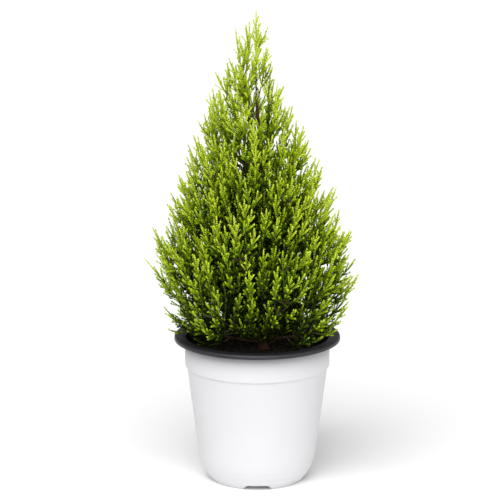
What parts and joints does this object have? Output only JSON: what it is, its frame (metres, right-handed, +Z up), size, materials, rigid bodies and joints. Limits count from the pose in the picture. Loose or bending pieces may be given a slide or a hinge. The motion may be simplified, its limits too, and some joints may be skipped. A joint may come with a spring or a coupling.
{
  "type": "potted cypress",
  "caption": "Young golden cypress with upright feathery plumes in a loose cone, standing in a thin white nursery pot with a dark rim and lining.",
  "frame": {"origin": "on the pot's axis, on the surface that the pot stands on", "axes": "+Z up along the pot's axis; seen from the front, looking along +Y, +X is to the right"},
  "size_m": [0.1617, 0.1615, 0.372],
  "materials": {
    "pot_shell": "satin",
    "soil": "rough",
    "bark": "rough",
    "foliage": "matte"
  },
  "bodies": {
    "root": {"pot": "pot_shell", "soil": "soil", "trunk": "bark", "bough_01": "bark", "bough_02": "bark", "bough_03": "bark", "bough_04": "bark", "bough_05": "bark", "bough_06": "bark", "bough_07": "bark", "bough_08": "bark", "bough_09": "bark", "bough_10": "bark", "bough_11": "bark", "bough_12": "bark", "bough_13": "bark", "bough_14": "bark", "bough_15": "bark", "bough_16": "bark", "bough_17": "bark", "bough_18": "bark", "foliage_01": "foliage", "foliage_02": "foliage", "foliage_03": "foliage", "foliage_04": "foliage", "foliage_05": "foliage", "foliage_06": "foliage", "foliage_07": "foliage", "foliage_08": "foliage", "foliage_09": "foliage", "foliage_10": "foliage", "foliage_11": "foliage", "foliage_12": "foliage", "foliage_13": "foliage", "foliage_14": "foliage", "foliage_15": "foliage", "foliage_16": "foliage", "foliage_17": "foliage", "foliage_18": "foliage", "foliage_19": "foliage", "foliage_20": "foliage", "foliage_21": "foliage", "foliage_22": "foliage", "foliage_23": "foliage", "foliage_24": "foliage", "foliage_25": "foliage", "foliage_26": "foliage", "foliage_co_leader": "foliage", "foliage_leader": "foliage", "foliage_inner_01": "foliage", "foliage_inner_02": "foliage", "foliage_inner_03": "foliage", "foliage_inner_04": "foliage", "foliage_inner_05": "foliage", "foliage_inner_06": "foliage", "foliage_inner_07": "foliage", "foliage_inner_08": "foliage", "foliage_inner_09": "foliage", "foliage_inner_10": "foliage"}
  },
  "joints": []
}
